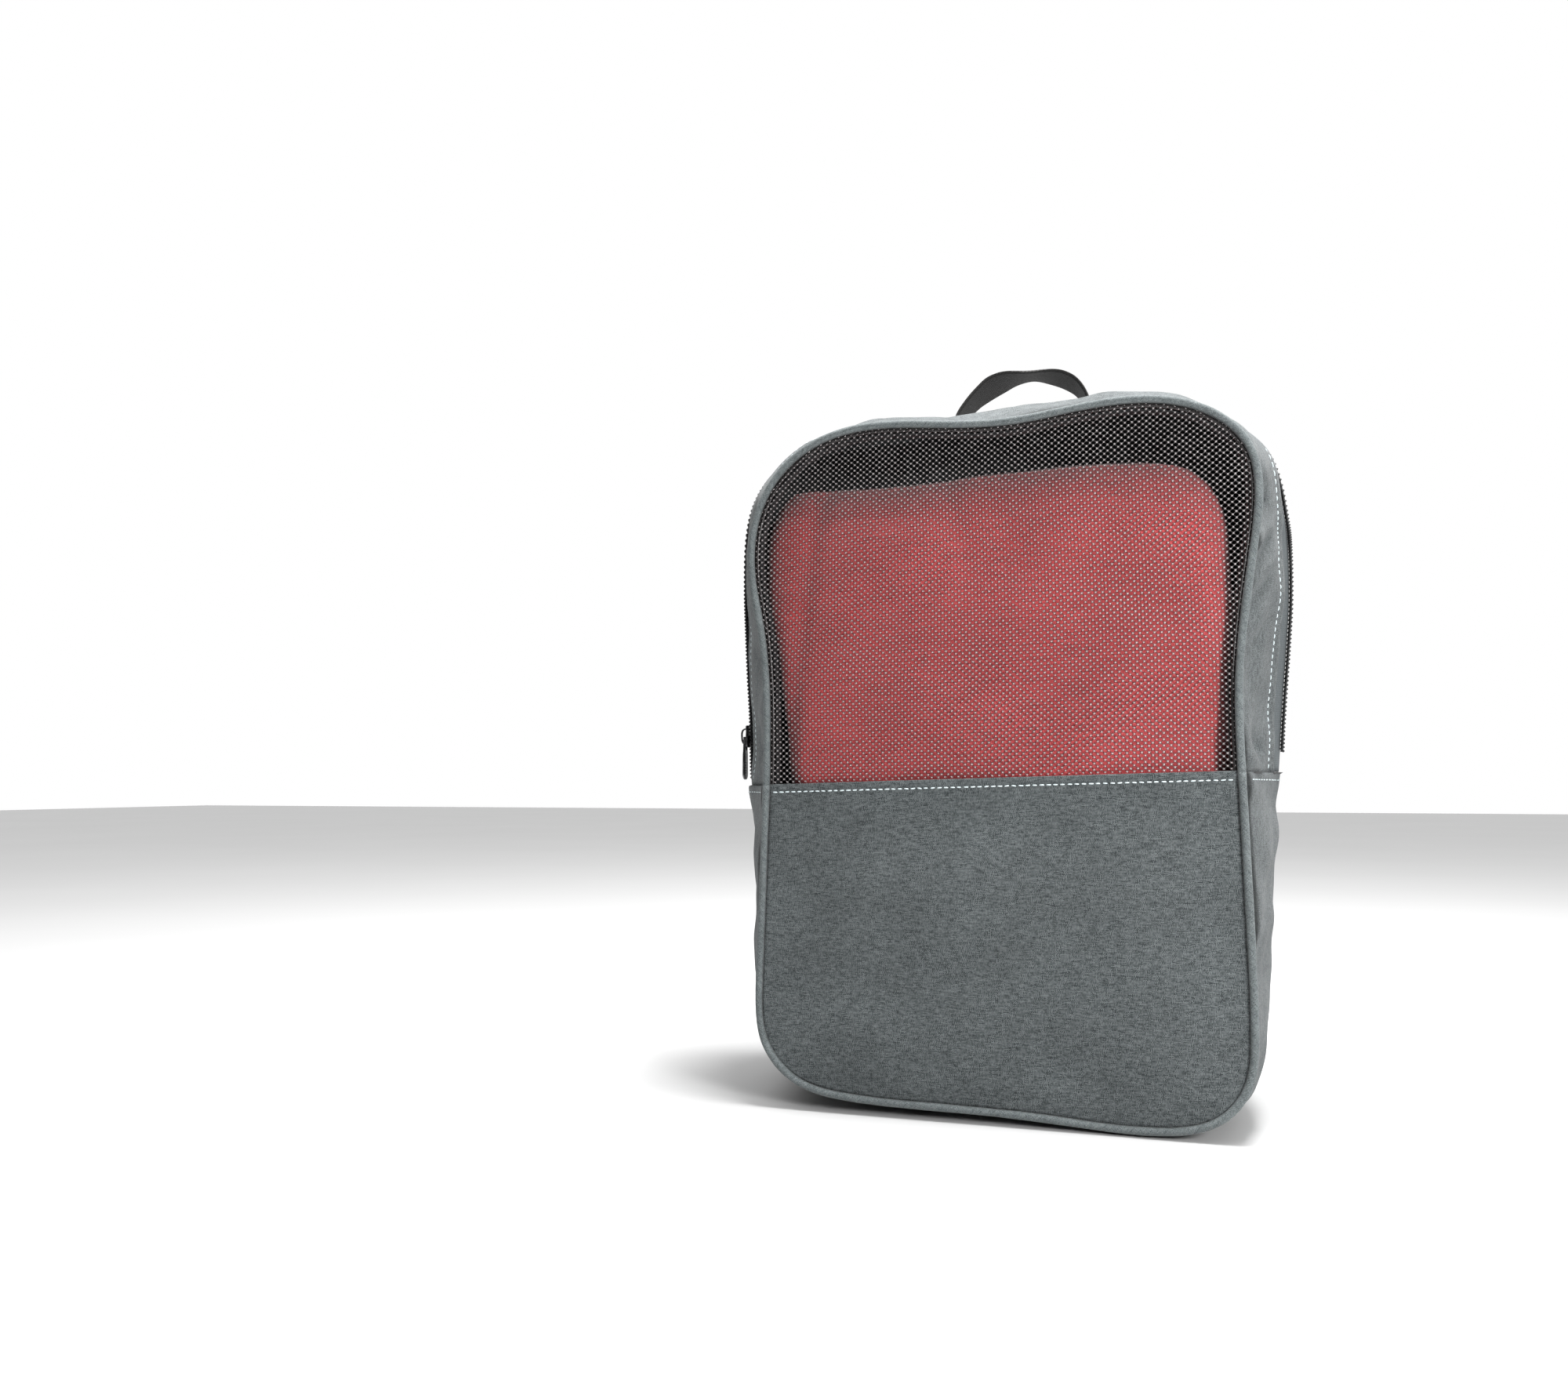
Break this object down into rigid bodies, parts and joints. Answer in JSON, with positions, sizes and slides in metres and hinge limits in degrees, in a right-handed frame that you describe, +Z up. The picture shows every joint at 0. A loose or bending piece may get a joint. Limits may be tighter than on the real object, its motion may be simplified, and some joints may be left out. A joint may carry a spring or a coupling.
{
  "type": "shoe bag",
  "caption": "Soft upright shoe bag with a mesh window over a fabric panel, piped edges, a coil zip round the top gusset, a webbing handle and a cloth sack inside.",
  "frame": {"origin": "middle of the flat bottom, on the surface the bag stands on", "axes": "+Z up; front with the mesh window towards -Y; +X to the right as seen from the front"},
  "size_m": [0.2811, 0.1196, 0.3785],
  "materials": {
    "grey_melange_panel": "matte",
    "grey_melange_gusset": "matte",
    "black_net": "matte",
    "grey_piping": "matte",
    "piping_cord": "matte",
    "binding_tape": "matte",
    "zip_tape": "matte",
    "zip_coil": "satin",
    "slider_metal": "satin",
    "black_webbing": "matte",
    "board_plastic": "matte",
    "red_cloth": "matte",
    "white_thread": "matte"
  },
  "bodies": {
    "shell": {"front_lower_panel": "grey_melange_panel", "back_panel": "grey_melange_panel", "gusset_lower": "grey_melange_gusset", "gusset_back_strip": "grey_melange_gusset", "piping_cover_lower": "grey_piping", "piping_cover_back": "grey_piping", "piping_cord_lower": "piping_cord", "piping_cord_back": "piping_cord", "seam_binding_lower": "binding_tape", "seam_binding_back": "binding_tape", "zip_tape_back": "zip_tape", "zip_coil_back": "zip_coil", "handle_anchor_left": "black_webbing", "handle_anchor_right": "black_webbing", "base_board": "board_plastic", "sack_front": "red_cloth", "sack_back": "red_cloth", "sack_side_band": "red_cloth"},
    "front_flap": {"front_mesh_panel": "black_net", "gusset_front_strip": "grey_melange_gusset", "piping_cover_upper": "grey_piping", "piping_cord_upper": "piping_cord", "seam_binding_upper": "binding_tape", "zip_tape_front": "zip_tape", "zip_coil_front": "zip_coil"},
    "slider": {"slider_body": "slider_metal", "slider_cap": "slider_metal"},
    "pull_tab": {"pull_tab": "slider_metal"},
    "handle": {"handle_webbing": "black_webbing"}
  },
  "joints": [
    {"name": "front_flap_fold", "type": "hinge", "parent": "shell", "child": "front_flap", "pos_m": [0, -0.0601, 0.157], "axis": [1, 0, 0], "range_deg": [0, 100]},
    {"name": "zip_slide", "type": "slide", "parent": "shell", "child": "slider", "axis": [-0.0504, 0, 0.9987], "range_m": [0, 0.08]},
    {"name": "pull_tab_swing", "type": "hinge", "parent": "slider", "child": "pull_tab", "pos_m": [-0.13834, 0, 0.17758], "axis": [0, 1, 0], "range_deg": [0, 170]},
    {"name": "handle_fold", "type": "hinge", "parent": "shell", "child": "handle", "pos_m": [0.01, 0.033, 0.35783], "axis": [1, 0, 0], "range_deg": [-60, 60], "stiffness_Nm_per_rad": 0.02}
  ]
}
